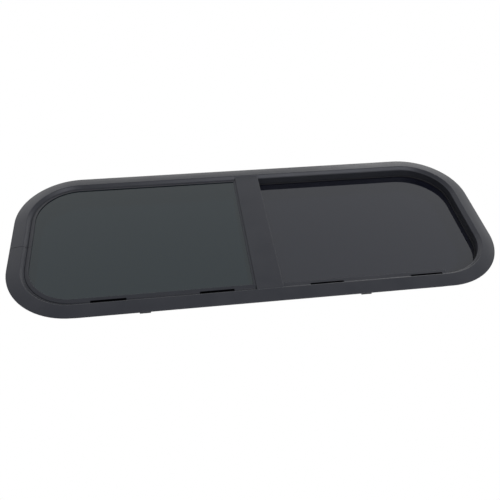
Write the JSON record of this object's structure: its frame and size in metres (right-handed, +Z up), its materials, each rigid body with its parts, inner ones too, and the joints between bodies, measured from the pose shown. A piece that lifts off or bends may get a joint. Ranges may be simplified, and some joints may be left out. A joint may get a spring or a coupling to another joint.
{
  "type": "sliding window",
  "caption": "Camper window with a rounded black frame, a flush fixed pane, a centre bar and a recessed sliding pane with an insect screen behind it.",
  "frame": {"origin": "centre of the flange on the wall plane, the plane of the flange's rear edge", "axes": "+X to the right seen from outside, +Z up, +Y into the vehicle; the outside is towards -Y"},
  "size_m": [0.75, 0.0453, 0.302],
  "materials": {
    "frame_coat": "satin black powder coat on extruded aluminium",
    "screen_coat": "satin black powder coat on thin aluminium",
    "bare_aluminium": "mill finish",
    "plated_screws": "zinc plated",
    "dark_glass": "dark privacy tint, polished",
    "gasket_rubber": "matte extruded rubber",
    "run_rubber": "flocked rubber",
    "black_pile": "woven pile",
    "bead_plastic": "moulded, fine grain",
    "latch_plastic": "moulded, fine grain",
    "pad_plastic": "moulded",
    "screen_mesh": "woven glass fibre mesh coated dark grey"
  },
  "bodies": {
    "root": {"outer_frame": "frame_coat", "neck_ring": "frame_coat", "joint_splice": "bare_aluminium", "splice_screws": "plated_screws", "fixed_glass": "dark_glass", "fixed_gasket": "gasket_rubber", "glazing_bead": "bead_plastic", "drain_sill": "frame_coat", "mullion": "frame_coat", "mullion_seal": "gasket_rubber", "mullion_pile": "black_pile", "mullion_screws": "plated_screws", "run_channel": "run_rubber", "slider_stops": "run_rubber", "slider_glass": "dark_glass", "slider_stile": "frame_coat", "latch_body": "latch_plastic", "latch_lever": "latch_plastic", "screen_frame": "screen_coat", "screen_mesh": "screen_mesh", "screen_cord": "gasket_rubber", "screen_pull": "latch_plastic", "screen_clips": "latch_plastic", "clip_screws": "plated_screws", "screen_keepers": "latch_plastic", "pad_left": "pad_plastic", "pad_right": "pad_plastic"}
  },
  "joints": []
}
